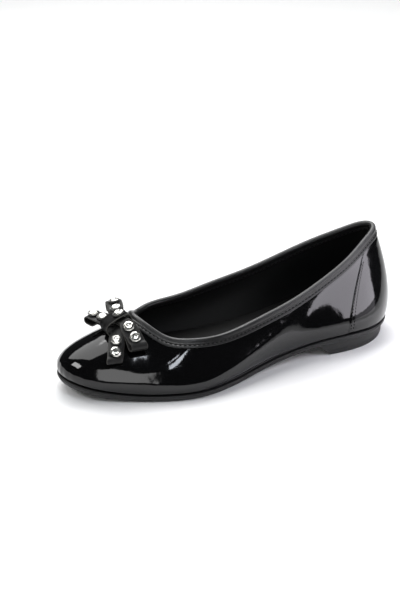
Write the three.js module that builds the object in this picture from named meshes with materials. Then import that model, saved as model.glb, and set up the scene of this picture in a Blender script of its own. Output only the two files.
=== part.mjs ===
// Ballet flat, left shoe: patent upper, thin moulded sole, bound topline and a looped bow with crystals.
// Millimetres, +Z up. The toe points to -Y, the outer side of the foot to +X, and the floor is z = 0.
import * as THREE from "three";
import { mergeVertices } from "three/addons/utils/BufferGeometryUtils.js";

// Sole
const soleLength = 245;
const ballWidth = 85;
const toeSwing = 2.2; // the toe tip lies this far to the inner side
const toeSpring = 7.5; // lift of the toe tip over the floor
const heelHeight = 8.2; // underside of the outsole over the floor at the seat
const soleEdge = 4.1;
const soleLip = 0.6; // the sole's edge bulges this far past the outline
const soleBevel = 1.4; // the tread's edge is cut back this far
const heelInset = 2.2; // the heel block stands in from the sole's edge
const heelBevel = 0.6; // and its lower edge a little further
const breastShare = 0.735; // place of the heel's front face along the sole, at the floor
const breastSlant = 10; // the front face leans this far forward at its top

// Upper
const wall = 1.5;
const cornerRadius = 2.2; // turn of the leather under the foot
const marginWidth = 9; // leather turned in under the insole
const throatSetback = 50; // toe tip to the front of the topline
const collarSetback = 10; // heel end to the back of the topline
const throatHeight = 43.2;
const sideHeight = 33; // lowest point of the topline
const backHeight = 73.7;
const counterStep = 0.5; // the counter stands this much proud of the quarters
const counterRise = 0.85; // up to this share of the wall, where the binding covers its end
const counterSweep = 2.7; // how late its front edge sweeps back

// Insole and fit
const insoleThickness = 2.4;
const clearance = 0.3; // between neighbouring curved pieces
const insoleSideClearance = 1.1; // past the rounded corner of the upper
const insoleBevel = 0.8;

// Binding
const bindingThickness = 0.7;
const bindingOuterLeg = 5.3;
const bindingInnerLeg = 4.5;
const bindingBead = 0.35; // the rolled edge is this much thicker than the legs
const bindingSkive = 0.25; // the outer leg thins by this much at its lower edge
const bindingLegShares = [1, 0.88, 0.3]; // rows down the outer leg, as shares of its height
const innerLegShare = 0.4; // the row halfway down the inner leg

// Bow
const bowX = 4;
const bowSetback = 41; // toe tip to the middle of the bow
const ribbonWidth = 10.4;
const ribbonThickness = 1;
const heldMargin = 2.3; // the strips stay in the vamp's slope this far past the knot
const pinch = 0.6; // share of a strip's width that is left under the knot
const pinchReach = [5.5, 12]; // distances from the bow's middle between which a strip widens again
const loopReach = [7, 13]; // past the held part, where an arm's loop begins to open and where it is open
const loopNose = 3; // the loop's round end
const knotWidth = 10.4;
const knotLength = 18.6;
const knotCorner = 2.2; // bend radius of the band
const knotLift = 0.7; // its underside over the binding
const knotForward = 2.2; // the knot lies this far in front of the bow's middle
const knotHeadroom = 0.3; // extra space over the strips inside the knot
const knotCrystalBack = 1.5; // its crystal sits this far behind the bow's middle
const crystalRadius = 3.85;
const crystalHeight = 1.8;
const crystalSides = 10;
const crystalGap = 0.45; // under its foot, which is flat on a bent strip

// The outline of the sole: half widths as shares of the ball width, before the round ends
const outlineRows = [
  { at: 0.0, outer: 0.625, inner: 0.625 },
  { at: 0.06, outer: 0.578, inner: 0.57 },
  { at: 0.14, outer: 0.572, inner: 0.53 },
  { at: 0.22, outer: 0.611, inner: 0.5 },
  { at: 0.31, outer: 0.613, inner: 0.47 },
  { at: 0.38, outer: 0.557, inner: 0.435 },
  { at: 0.46, outer: 0.477, inner: 0.375 },
  { at: 0.56, outer: 0.422, inner: 0.315 },
  { at: 0.65, outer: 0.437, inner: 0.31 },
  { at: 0.74, outer: 0.51, inner: 0.365 },
  { at: 0.83, outer: 0.6, inner: 0.46 },
  { at: 0.92, outer: 0.655, inner: 0.565 },
  { at: 1.0, outer: 0.637, inner: 0.637 },
];

// The underside of the sole: shares of the toe spring and of the heel height
const soleRows = [
  { at: 0.0, toe: 1.0, heel: 0.0 },
  { at: 0.06, toe: 0.5, heel: 0.0 },
  { at: 0.12, toe: 0.16, heel: 0.0 },
  { at: 0.18, toe: 0.0, heel: 0.0 },
  { at: 0.42, toe: 0.0, heel: 0.0 },
  { at: 0.5, toe: 0.0, heel: 0.19 },
  { at: 0.6, toe: 0.0, heel: 0.58 },
  { at: 0.7, toe: 0.0, heel: 0.98 },
  { at: 0.78, toe: 0.0, heel: 1.12 },
  { at: 0.88, toe: 0.0, heel: 1.04 },
  { at: 1.0, toe: 0.0, heel: 0.95 },
];

// The topline: half width as a share of the ball width, and how far it has risen towards throat and back
const toplineRows = [
  { at: 0.0, half: 0.456, throat: 1.0, back: 0.0 },
  { at: 0.06, half: 0.537, throat: 0.17, back: 0.0 },
  { at: 0.12, half: 0.55, throat: 0.0, back: 0.0 },
  { at: 0.25, half: 0.476, throat: 0.0, back: 0.0 },
  { at: 0.4, half: 0.406, throat: 0.0, back: 0.116 },
  { at: 0.55, half: 0.367, throat: 0.0, back: 0.263 },
  { at: 0.7, half: 0.345, throat: 0.0, back: 0.48 },
  { at: 0.85, half: 0.321, throat: 0.0, back: 0.733 },
  { at: 0.95, half: 0.301, throat: 0.0, back: 0.915 },
  { at: 1.0, half: 0.332, throat: 0.0, back: 1.0 },
];

// The wall between sole and topline: its two handles, outwards as shares of the ball width,
// upwards and downwards as shares of the wall's height there
const wallRows = [
  { at: 0.0, footOut: 0.033, footRise: 0.568, topOut: 0.19, topDrop: 0.377 },
  { at: 0.06, footOut: 0.025, footRise: 0.391, topOut: 0.159, topDrop: 0.4 },
  { at: 0.16, footOut: 0.031, footRise: 0.449, topOut: 0.12, topDrop: 0.376 },
  { at: 0.3, footOut: 0.05, footRise: 0.3, topOut: 0.08, topDrop: 0.45 },
  { at: 0.5, footOut: 0.058, footRise: 0.26, topOut: 0.06, topDrop: 0.5 },
  { at: 0.8, footOut: 0.048, footRise: 0.311, topOut: 0.04, topDrop: 0.4 },
  { at: 1.0, footOut: 0.038, footRise: 0.304, topOut: 0.105, topDrop: 0.387 },
];

// The counter's front edge, as shares of the way from toe to heel, at the sole and at the topline
const counterFoot = 0.781;
const counterTop = 0.925;

// The two strips of the bow. Each arm turns this many degrees from straight across the shoe and runs straight
// as far as its reach, while its band turns to face its end. Past the part that is held it rises by the lift
// per length, bends by the length's square, loses a share of the vamp's slope and opens to its loop's height.
// Its crystals sit at two distances from the bow's middle.
const lowerNear = { turn: -32, face: 2, lift: -0.58, bend: -0.004, level: 1.35, reach: 24.5, loop: 4.6 };
const lowerFar = { turn: 22, face: 22, lift: -0.14, bend: 0.006, level: 0.8, reach: 23.5, loop: 5.6 };
const upperNear = { turn: 9, face: -8, lift: -0.5, bend: -0.012, level: 1, reach: 21, loop: 6.4 };
const upperFar = { turn: -18, face: -18, lift: 0.22, bend: -0.012, level: 0.8, reach: 23.5, loop: 5.6 };
const strips = [
  {
    name: "bow_strip_lower",
    layer: 0,
    near: { ...lowerNear, crystals: [15, 22.2] },
    far: { ...lowerFar, crystals: [14.8, 22.8] },
  },
  {
    name: "bow_strip_upper",
    layer: 1,
    near: { ...upperNear, crystals: [12, 18.7] },
    far: { ...upperFar, crystals: [10.5, 20.8] },
  },
];

const toeY = -soleLength / 2;
const upAxis = new THREE.Vector3(0, 0, 1);

// A smooth curve through one column of a table
function smooth(rows, column, at) {
  const last = rows.length - 1;
  const place = Math.min(Math.max(at, rows[0].at), rows[last].at);
  let i = 0;
  while (i < last - 1 && place > rows[i + 1].at) i += 1;
  const tangent = (k) => {
    const before = rows[Math.max(k - 1, 0)];
    const after = rows[Math.min(k + 1, last)];
    return (after[column] - before[column]) / (after.at - before.at);
  };
  const span = rows[i + 1].at - rows[i].at;
  const t = (place - rows[i].at) / span;
  const a = rows[i][column];
  const b = rows[i + 1][column];
  return (
    (2 * t ** 3 - 3 * t ** 2 + 1) * a +
    (t ** 3 - 2 * t ** 2 + t) * span * tangent(i) +
    (-2 * t ** 3 + 3 * t ** 2) * b +
    (t ** 3 - t ** 2) * span * tangent(i + 1)
  );
}

// An angle runs round the shoe: 0 at the toe, half a turn at the heel, positive on the outer side
const shareAt = (angle) => (1 - Math.cos(angle)) / 2;
const angleAt = (share) => Math.acos(1 - 2 * share);

function outlineAt(angle) {
  const share = shareAt(angle);
  const side = Math.sin(angle);
  const half = ballWidth * smooth(outlineRows, side >= 0 ? "outer" : "inner", share);
  return new THREE.Vector3(half * side - toeSwing * (1 - share) ** 3, toeY + soleLength * share, 0);
}

function outwardAt(angle) {
  const step = 1e-4;
  const along = outlineAt(angle + step).sub(outlineAt(angle - step));
  return new THREE.Vector3(along.y, -along.x, 0).normalize();
}

function inset(angle, distance) {
  return outlineAt(angle).addScaledVector(outwardAt(angle), -distance);
}

function soleBottom(y) {
  const share = (y - toeY) / soleLength;
  const lift = toeSpring * smooth(soleRows, "toe", share) + heelHeight * smooth(soleRows, "heel", share);
  return Math.max(lift, 0);
}

const soleTop = (y) => soleBottom(y) + soleEdge;

// A point over the sole, at a distance in from its outline and a height over its top face
function overSole(angle, distance, height) {
  const point = inset(angle, distance);
  return point.setZ(soleTop(point.y) + height);
}

function toplineAt(angle) {
  const share = shareAt(angle);
  const y = toeY + throatSetback + (soleLength - throatSetback - collarSetback) * share;
  const x = ballWidth * smooth(toplineRows, "half", share) * Math.sin(angle);
  const z =
    sideHeight +
    (throatHeight - sideHeight) * smooth(toplineRows, "throat", share) +
    (backHeight - sideHeight) * smooth(toplineRows, "back", share);
  return new THREE.Vector3(x, y, z);
}

// The outer face of the upper, from the feather line (rise 0) to the topline (rise 1): a cubic curve
function wallAt(angle, rise) {
  const share = shareAt(angle);
  const foot = overSole(angle, -clearance, clearance + cornerRadius);
  const top = toplineAt(angle);
  const outward = outwardAt(angle);
  const height = top.z - foot.z;
  const handleFoot = foot
    .clone()
    .addScaledVector(outward, ballWidth * smooth(wallRows, "footOut", share))
    .addScaledVector(upAxis, height * smooth(wallRows, "footRise", share));
  const handleTop = top
    .clone()
    .addScaledVector(outward, ballWidth * smooth(wallRows, "topOut", share))
    .addScaledVector(upAxis, -height * smooth(wallRows, "topDrop", share));
  return new THREE.CubicBezierCurve3(foot, handleFoot, handleTop, top).getPoint(rise);
}

function wallNormal(angle, rise) {
  const step = 1e-3;
  const around = wallAt(angle + step, rise).sub(wallAt(angle - step, rise));
  const low = Math.max(rise - step, 0);
  const upwards = wallAt(angle, Math.min(rise + step, 1)).sub(wallAt(angle, low));
  return around.cross(upwards).normalize();
}

// The rise at which the wall lies a given distance below the topline
function riseBelow(angle, distance) {
  const top = toplineAt(angle);
  let rise = 0.9;
  for (let pass = 0; pass < 6; pass += 1) {
    const reached = wallAt(angle, rise).distanceTo(top);
    rise = 1 - ((1 - rise) * distance) / reached;
  }
  return rise;
}

// The height and slope of the vamp over a point in plan, by Newton steps on the wall's own curve
function vampAt(x, y) {
  let angle = 0.4 * Math.sign(x || 1);
  let rise = 0.8;
  const step = 1e-4;
  for (let pass = 0; pass < 30; pass += 1) {
    const here = wallAt(angle, rise);
    const da = wallAt(angle + step, rise).sub(here).divideScalar(step);
    const dr = wallAt(angle, rise - step).sub(here).divideScalar(-step);
    const scale = da.x * dr.y - da.y * dr.x;
    const ex = x - here.x;
    const ey = y - here.y;
    angle += 0.7 * ((ex * dr.y - ey * dr.x) / scale);
    rise += 0.7 * ((da.x * ey - da.y * ex) / scale);
    rise = Math.min(Math.max(rise, 0.05), 0.999);
  }
  return { point: wallAt(angle, rise), normal: wallNormal(angle, rise) };
}

// Meshes

function solid(points, faces) {
  const geometry = new THREE.BufferGeometry();
  const positions = new Float32Array(points.flatMap((p) => [p.x, p.y, p.z]));
  geometry.setAttribute("position", new THREE.BufferAttribute(positions, 3));
  let volume = 0;
  for (const [a, b, c] of faces) {
    volume += points[a].dot(new THREE.Vector3().crossVectors(points[b], points[c]));
  }
  const outward = volume > 0 ? faces : faces.map(([a, b, c]) => [a, c, b]);
  geometry.setIndex(outward.flat());
  return mergeVertices(geometry, 1e-5);
}

// A ring of closed sections that joins up with itself
function ringSolid(sections) {
  const count = sections.length;
  const sides = sections[0].length;
  const faces = [];
  for (let i = 0; i < count; i += 1) {
    for (let j = 0; j < sides; j += 1) {
      const a = i * sides + j;
      const b = i * sides + ((j + 1) % sides);
      const c = ((i + 1) % count) * sides + ((j + 1) % sides);
      const d = ((i + 1) % count) * sides + j;
      faces.push([a, b, c], [a, c, d]);
    }
  }
  return solid(sections.flat(), faces);
}

// Rings stacked on each other, closed by rungs between opposite points of the first and the last ring
function stackSolid(rings, opposite) {
  const sides = rings[0].length;
  const faces = [];
  for (let level = 0; level + 1 < rings.length; level += 1) {
    for (let j = 0; j < sides; j += 1) {
      const a = level * sides + j;
      const b = level * sides + ((j + 1) % sides);
      faces.push([a, b, b + sides], [a, b + sides, a + sides]);
    }
  }
  const rungs = opposite.length - 1;
  for (const [base, turned] of [[0, true], [(rings.length - 1) * sides, false]]) {
    for (let k = 0; k < rungs; k += 1) {
      const corners = [opposite[k][0], opposite[k + 1][0], opposite[k + 1][1], opposite[k][1]];
      const [a, b, c, d] = corners.map((index) => index + base);
      for (const face of [[a, b, c], [a, c, d]]) {
        if (new Set(face).size < 3) continue;
        faces.push(turned ? face.toReversed() : face);
      }
    }
  }
  return solid(rings.flat(), faces);
}

const soleSteps = 80; // steps round the shoe, an even number
const soleAngles = Array.from({ length: soleSteps }, (_, i) => (2 * Math.PI * i) / soleSteps);
const signedAngles = soleAngles.map((angle) => (angle > Math.PI ? angle - 2 * Math.PI : angle));
const soleRungs = Array.from({ length: soleSteps / 2 + 1 }, (_, i) => [i, (soleSteps - i) % soleSteps]);

// Outsole: bevelled tread edge, bulging lip and a flat top
function outsole() {
  const rows = [
    { inset: soleBevel, height: 0 },
    { inset: 0.3 * soleBevel, height: 0.17 * soleEdge },
    { inset: -0.7 * soleLip, height: 0.5 * soleEdge },
    { inset: -soleLip, height: 0.82 * soleEdge },
    { inset: -0.2 * soleLip, height: soleEdge },
  ];
  const rings = rows.map((row) =>
    signedAngles.map((angle) => {
      const point = inset(angle, row.inset);
      return point.setZ(soleBottom(point.y) + row.height);
    })
  );
  return stackSolid(rings, soleRungs);
}

// Heel block: the sole's own outline behind the breast, carried down to the floor
function heelBlock() {
  const steps = 36;
  const rows = [
    { inset: heelInset + heelBevel, drop: 1 },
    { inset: heelInset, drop: 0.9 },
    { inset: heelInset, drop: 0.45 },
    { inset: heelInset, drop: 0 },
  ];
  const rings = rows.map((row) => {
    const breast = breastShare - (breastSlant * (1 - row.drop)) / soleLength;
    const start = angleAt(breast);
    return Array.from({ length: steps + 1 }, (_, i) => {
      const angle = start + ((2 * Math.PI - 2 * start) * i) / steps;
      const signed = angle > Math.PI ? angle - 2 * Math.PI : angle;
      const point = inset(signed, row.inset);
      return point.setZ((soleBottom(point.y) - clearance) * (1 - row.drop));
    });
  });
  const rungs = Array.from({ length: steps / 2 + 1 }, (_, i) => [i, steps - i]);
  return stackSolid(rings, rungs);
}

// Insole: a sock that lies on the turned-in leather, with the filler under it in one piece
function insole() {
  const fillerInset = cornerRadius + marginWidth;
  const shelf = clearance + wall + clearance;
  const edge = wall - clearance + insoleSideClearance;
  const rows = [
    { inset: fillerInset, height: clearance },
    { inset: fillerInset, height: shelf },
    { inset: edge, height: shelf },
    { inset: edge, height: shelf + 0.7 * insoleThickness },
    { inset: edge + insoleBevel, height: shelf + insoleThickness },
  ];
  const rings = rows.map((row) => signedAngles.map((angle) => overSole(angle, row.inset, row.height)));
  return stackSolid(rings, soleRungs);
}

// The counter's front edge at a share of the wall's height
function counterShareAt(rise) {
  return counterFoot + (counterTop - counterFoot) * rise ** counterSweep;
}

// The angles round the upper, bent so that two of the columns follow the counter's front edge
const counterColumn = 26; // the column, of half the upper's, that runs along the edge
const halfColumns = 40;
const edgeWidth = 0.004; // of the way round, between the two columns of the edge

function upperAngles(rise) {
  const edge = angleAt(counterShareAt(rise)) / Math.PI;
  const half = [];
  for (let i = 0; i <= halfColumns; i += 1) {
    const ahead = (edge * i) / counterColumn;
    const past = (i - counterColumn - 1) / (halfColumns - counterColumn - 1);
    const behind = edge + edgeWidth + (1 - edge - edgeWidth) * past;
    half.push(Math.PI * (i <= counterColumn ? ahead : behind));
  }
  const outer = half.map((angle, i) => ({ angle, raised: i > counterColumn }));
  const inner = outer.slice(1, -1).toReversed().map(({ angle, raised }) => ({ angle: -angle, raised }));
  return [...outer, ...inner];
}

// Upper: the wall, with a turned-in margin under the foot, as one closed section carried round the shoe
function upper() {
  const rises = [0, 0.08, 0.18, 0.3, 0.43, 0.57, 0.7, 0.82, 0.9, 0.95, 1];
  const columns = upperAngles(0).length;
  const sections = Array.from({ length: columns }, () => []);
  const turn = (angle, radius, degrees) => {
    const a = THREE.MathUtils.degToRad(degrees);
    const centre = cornerRadius - clearance;
    return overSole(angle, centre - radius * Math.cos(a), clearance + cornerRadius - radius * Math.sin(a));
  };
  const marginInset = cornerRadius + marginWidth - 2 * clearance;
  for (const [i, { angle }] of upperAngles(0).entries()) {
    sections[i].push(overSole(angle, marginInset, clearance));
    sections[i].push(turn(angle, cornerRadius, 90), turn(angle, cornerRadius, 45));
  }
  for (const rise of rises) {
    const step = rise > counterRise ? 0 : counterStep;
    for (const [i, { angle, raised }] of upperAngles(rise).entries()) {
      sections[i].push(wallAt(angle, rise).addScaledVector(wallNormal(angle, rise), raised ? step : 0));
    }
  }
  for (const rise of rises.toReversed()) {
    for (const [i, { angle }] of upperAngles(rise).entries()) {
      sections[i].push(wallAt(angle, rise).addScaledVector(wallNormal(angle, rise), -wall));
    }
  }
  for (const [i, { angle }] of upperAngles(0).entries()) {
    sections[i].push(turn(angle, cornerRadius - wall, 90));
    sections[i].push(overSole(angle, marginInset, clearance + wall));
  }
  return ringSolid(sections);
}

// Binding: one band folded over the topline, its legs on both faces of the wall and a bead on top
function binding() {
  const innerFace = clearance;
  const outerFace = clearance + bindingThickness;
  const leg = (angle, below, offset) => {
    const rise = riseBelow(angle, below);
    return wallAt(angle, rise).addScaledVector(wallNormal(angle, rise), offset);
  };
  const sections = signedAngles.map((angle) => {
    const outward = wallNormal(angle, 1);
    const top = wallAt(angle, 1);
    const upwards = top.clone().sub(wallAt(angle, 0.97)).normalize();
    const middle = top.clone().addScaledVector(outward, -wall / 2);
    const arc = (radius, degrees) => {
      const a = THREE.MathUtils.degToRad(degrees);
      return middle
        .clone()
        .addScaledVector(outward, radius * Math.cos(a))
        .addScaledVector(upwards, radius * Math.sin(a));
    };
    const beadRadius = wall / 2 + outerFace + bindingBead;
    const foldRadius = wall / 2 + innerFace;
    return [
      ...bindingLegShares.map((share, i) =>
        leg(angle, share * bindingOuterLeg, outerFace - (i === 0 ? bindingSkive : 0))
      ),
      ...[0, 45, 90, 135, 180].map((degrees) => arc(beadRadius, degrees)),
      leg(angle, innerLegShare * bindingInnerLeg, -wall - outerFace),
      leg(angle, bindingInnerLeg, -wall - outerFace),
      leg(angle, bindingInnerLeg, -wall - innerFace),
      ...[180, 135, 90, 45, 0].map((degrees) => arc(foldRadius, degrees)),
      leg(angle, bindingOuterLeg / 2, innerFace),
      leg(angle, bindingOuterLeg, innerFace),
    ];
  });
  return ringSolid(sections);
}

// Bow. Everything in it is stacked over the vamp at its middle: knot, lower strip, upper strip, knot
const bowY = toeY + bowSetback;
const bowSeat = vampAt(bowX, bowY);
const bowSlope = Math.atan2(-bowSeat.normal.y, bowSeat.normal.z); // the vamp falls towards the toe
const pinchedHeight = 2 * ribbonThickness + clearance;
const layerHeight = pinchedHeight + 2 * clearance; // the arms of the two strips are tilted apart
const bindingTop = clearance + bindingThickness + bindingBead;
const knotFloor = bindingTop + knotLift; // the knot clears the binding, whose front edge lies under it
const stripFloor = knotFloor + ribbonThickness + clearance;
const sideTilt = new THREE.Vector3(0, Math.cos(bowSlope), Math.sin(bowSlope));
const bowUp = new THREE.Vector3(0, -Math.sin(bowSlope), Math.cos(bowSlope));

const heldReach = knotWidth / 2 + heldMargin;

// One strip's arm at a distance from the bow's middle: the top of its band, the height of its loop, and the
// directions along it and across it, the latter from edge to edge
function armAt(strip, side, distance) {
  const arm = side > 0 ? strip.near : strip.far;
  const held = Math.min(distance, heldReach);
  const free = distance - held;
  const share = Math.min(free / (arm.reach - heldReach), 1);
  const middleTurn = (strip.near.turn + strip.far.turn) / 2;
  const inward = 1 - held / heldReach;
  const degrees = arm.turn + (middleTurn - arm.turn) * inward + (arm.face - arm.turn) * share;
  const heading = THREE.MathUtils.degToRad(degrees);
  const tilt = bowSlope * (1 - arm.level * share);
  const flat = new THREE.Vector3(0, Math.cos(tilt), Math.sin(tilt)).multiplyScalar(Math.cos(heading));
  const width = ribbonWidth * (pinch + (1 - pinch) * THREE.MathUtils.smoothstep(distance, ...pinchReach));
  const across = flat.setX(-Math.sin(heading)).setLength(width);
  const turn = THREE.MathUtils.degToRad(arm.turn);
  const along = new THREE.Vector3(Math.cos(turn), Math.sin(turn), 0).multiplyScalar(side);
  const root = stripFloor + strip.layer * layerHeight + pinchedHeight;
  const top = bowSeat.point.clone().addScaledVector(bowUp, root).addScaledVector(along, distance);
  top.z += along.y * Math.tan(bowSlope) * held + arm.lift * free + arm.bend * free ** 2;
  const opened = THREE.MathUtils.smoothstep(free, ...loopReach);
  const height = pinchedHeight + (arm.loop - pinchedHeight) * opened;
  return { top, height, along, across };
}

// The line that a strip follows: out on top, round the loop, back below, and the same on the other side
function stripLine(strip) {
  const line = [];
  for (const side of [1, -1]) {
    const { reach } = side > 0 ? strip.near : strip.far;
    const past = [0.2, 0.4, 0.6, 0.8, 1].map((share) => heldReach + (reach - heldReach) * share);
    const run = [0, heldReach / 2, heldReach, ...past];
    const point = (distance, upper) => {
      const { top, height, across } = armAt(strip, side, distance);
      const down = upper ? ribbonThickness / 2 : height - ribbonThickness / 2;
      return { point: top.addScaledVector(upAxis, -down), across };
    };
    const { top, height, along, across } = armAt(strip, side, reach);
    const half = (height - ribbonThickness) / 2;
    const nose = [45, 90, 135].map((degrees) => {
      const a = THREE.MathUtils.degToRad(degrees);
      const place = top
        .clone()
        .addScaledVector(along, loopNose * Math.sin(a))
        .addScaledVector(upAxis, side * half * Math.cos(a) - height / 2);
      return { point: place, across };
    });
    const out = run.map((distance) => point(distance, side > 0));
    const back = run.toReversed().map((distance) => point(distance, side < 0));
    line.push(...out, ...nose, ...back.slice(0, -1));
  }
  return line;
}

// A flat band along a closed line of points, each with the way across the band from edge to edge
function bandSolid(line, thickness) {
  const count = line.length;
  const sections = line.map(({ point, across }, i) => {
    const along = line[(i + 1) % count].point.clone().sub(line[(i + count - 1) % count].point);
    const outward = new THREE.Vector3().crossVectors(along, across).normalize();
    return [[1, 1], [1, -1], [-1, -1], [-1, 1]].map(([u, v]) =>
      point
        .clone()
        .addScaledVector(across, u / 2)
        .addScaledVector(outward, (v * thickness) / 2)
    );
  });
  return ringSolid(sections);
}

// Knot: a band round both strips, along the shoe
function bowKnot() {
  const inside = 2 * layerHeight + clearance + knotHeadroom;
  const height = inside + ribbonThickness;
  const halfLength = (knotLength - ribbonThickness) / 2 - knotCorner;
  const halfHeight = height / 2 - knotCorner;
  const middle = bowSeat.point
    .clone()
    .addScaledVector(sideTilt, -knotForward)
    .addScaledVector(bowUp, knotFloor + ribbonThickness / 2 + height / 2);
  const line = [];
  for (const [lengthwise, upwards, from] of [[1, -1, -90], [1, 1, 0], [-1, 1, 90], [-1, -1, 180]]) {
    for (const degrees of [0, 30, 60, 90]) {
      const a = THREE.MathUtils.degToRad(from + degrees);
      const point = middle
        .clone()
        .addScaledVector(sideTilt, lengthwise * halfLength + knotCorner * Math.cos(a))
        .addScaledVector(bowUp, upwards * halfHeight + knotCorner * Math.sin(a));
      line.push({ point, across: new THREE.Vector3(knotWidth, 0, 0) });
    }
  }
  return bandSolid(line, ribbonThickness);
}

// A crystal: a low brilliant cut with a flat table, standing on a seat with its own normal
function crystal(seat, normal) {
  const profile = [
    [0, 0],
    [0.9 * crystalRadius, 0],
    [crystalRadius, 0.35 * crystalHeight],
    [0.55 * crystalRadius, crystalHeight],
    [0, crystalHeight],
  ];
  const geometry = new THREE.LatheGeometry(profile.map(([r, h]) => new THREE.Vector2(r, h)), crystalSides);
  geometry.deleteAttribute("normal");
  geometry.deleteAttribute("uv");
  geometry.rotateX(Math.PI / 2);
  const mesh = mergeVertices(geometry, 1e-4);
  mesh.applyQuaternion(new THREE.Quaternion().setFromUnitVectors(upAxis, normal));
  mesh.translate(seat.x, seat.y, seat.z);
  return mesh;
}

// The seats of the crystals: on top of each arm, and on the knot near its rear
function crystalSeats() {
  const seats = [];
  for (const strip of strips) {
    for (const side of [1, -1]) {
      for (const distance of (side > 0 ? strip.near : strip.far).crystals) {
        const { top, across } = armAt(strip, side, distance);
        const along = armAt(strip, side, distance + 1).top.sub(top).multiplyScalar(side);
        const normal = new THREE.Vector3().crossVectors(along, across).normalize();
        seats.push({ seat: top.addScaledVector(normal, crystalGap), normal });
      }
    }
  }
  const top = knotFloor + 2 * layerHeight + 2 * clearance + knotHeadroom + 2 * ribbonThickness;
  const seat = bowSeat.point.clone().addScaledVector(bowUp, top).addScaledVector(sideTilt, knotCrystalBack);
  seats.push({ seat, normal: bowUp });
  return seats;
}

// Colours and finishes
const finish = (color, roughness) => new THREE.MeshStandardMaterial({ color, roughness });
const patent = finish(0x070707, 0.08);
const bindingLeather = finish(0x2b2b2c, 0.45);
const bowLeather = finish(0x252526, 0.5);
const soleRubber = finish(0x1f1f20, 0.6);
const sockLeather = finish(0x101010, 0.7);
const glass = finish(0xe8ecf2, 0.05);

const group = new THREE.Group();

function add(name, geometry, material) {
  const mesh = new THREE.Mesh(geometry, material);
  mesh.name = name;
  group.add(mesh);
}

add("outsole", outsole(), soleRubber);
add("heel_block", heelBlock(), soleRubber);
add("insole", insole(), sockLeather);
add("upper", upper(), patent);
add("binding", binding(), bindingLeather);
for (const strip of strips) add(strip.name, bandSolid(stripLine(strip), ribbonThickness), bowLeather);
add("bow_knot", bowKnot(), bowLeather);
for (const [i, { seat, normal }] of crystalSeats().entries()) {
  add(`crystal_${i + 1}`, crystal(seat, normal), glass);
}

// The origin is the middle of the shoe's bounding box, at the floor
const box = new THREE.Box3().setFromObject(group);
const middleOfBox = box.getCenter(new THREE.Vector3());
group.position.set(-middleOfBox.x, -middleOfBox.y, -box.min.z);

export default group;
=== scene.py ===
"""A womens ballet flat, the left shoe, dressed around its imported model.

The upper is patent leather with a bound topline, on a thin moulded sole with a low heel. A bow of two looped
ribbons and a knot, set with nine cut stones, lies in front of the throat. Shapes are worked out as arrays
of points in millimetres, in the last's own frame: the toe points to -Y, the outer side of the foot to +X,
and the floor is z = 0. An angle runs round the shoe: 0 at the toe, half a turn at the heel, positive on the
outer side. Meshes are made in metres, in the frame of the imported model.
"""
import math

import bmesh
import bpy
import numpy as np
from mathutils import Matrix


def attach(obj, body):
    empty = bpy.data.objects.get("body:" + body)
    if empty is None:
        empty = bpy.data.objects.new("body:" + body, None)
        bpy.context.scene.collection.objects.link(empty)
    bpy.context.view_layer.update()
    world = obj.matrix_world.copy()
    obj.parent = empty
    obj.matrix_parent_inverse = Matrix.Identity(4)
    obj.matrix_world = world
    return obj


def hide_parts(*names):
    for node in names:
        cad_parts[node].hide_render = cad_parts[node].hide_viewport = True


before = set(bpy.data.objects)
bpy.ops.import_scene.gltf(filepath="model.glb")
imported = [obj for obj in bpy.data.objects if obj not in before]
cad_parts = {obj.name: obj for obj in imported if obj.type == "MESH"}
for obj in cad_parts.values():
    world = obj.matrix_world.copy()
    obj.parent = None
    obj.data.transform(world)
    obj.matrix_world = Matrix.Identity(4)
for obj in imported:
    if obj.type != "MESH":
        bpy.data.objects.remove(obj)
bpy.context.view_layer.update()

MM = 0.001
LAST_SHIFT = np.array([-3.97, -0.6, 0.0])  # from the last's frame to the model's, millimetres
UP = np.array([0.0, 0.0, 1.0])

# Angles of the points round the sole and the binding, from the toe round both sides
AROUND = 480
RING = np.linspace(0, 2 * np.pi, AROUND, endpoint=False)
RING = np.where(RING > np.pi, RING - 2 * np.pi, RING)

# Sole
SOLE_LENGTH = 245.0
BALL_WIDTH = 85.0
TOE_SWING = 2.2
TOE_SPRING = 7.5
HEEL_HEIGHT = 8.2
SOLE_EDGE = 4.1
SOLE_LIP = 0.6
HEEL_INSET = 2.2
BREAST_SHARE = 0.735
BREAST_SLANT = 10.0
TOE_Y = -SOLE_LENGTH / 2

# Upper
WALL = 1.5
CORNER_RADIUS = 2.2
MARGIN_WIDTH = 9.0
THROAT_SETBACK = 50.0
COLLAR_SETBACK = 10.0
THROAT_HEIGHT = 43.2
SIDE_HEIGHT = 33.0
BACK_HEIGHT = 73.7
COUNTER_STEP = 0.5
COUNTER_FOOT = 0.781
COUNTER_TOP = 0.925
COUNTER_SWEEP = 2.7
COUNTER_ROWS = (1.0, 3.2)  # setbacks of its rows of stitches from its front edge

# Insole and fit
INSOLE_THICKNESS = 2.4
CLEARANCE = 0.3
INSOLE_SIDE_CLEARANCE = 1.1

# Binding
BINDING_THICKNESS = 0.7
BINDING_OUTER_LEG = 5.3
BINDING_INNER_LEG = 4.5
BINDING_BEAD = 0.35
BINDING_HIGHLIGHT = 7.35  # place of the painted highlight along the ridge of the roll, across the band, up from the lower edge of its outer leg
OUTER_STITCHES = 3.2  # the rows of stitches, below the topline
INNER_STITCHES = 3.55

# Stitches of the counter and of the binding, in millimetres
COUNTER_STITCH = {"pitch": 2.2, "length": 1.7, "width": 0.5, "height": 0.2}
BINDING_STITCH = {"pitch": 3.0, "length": 2.2, "width": 0.8, "height": 0.18}

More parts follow.
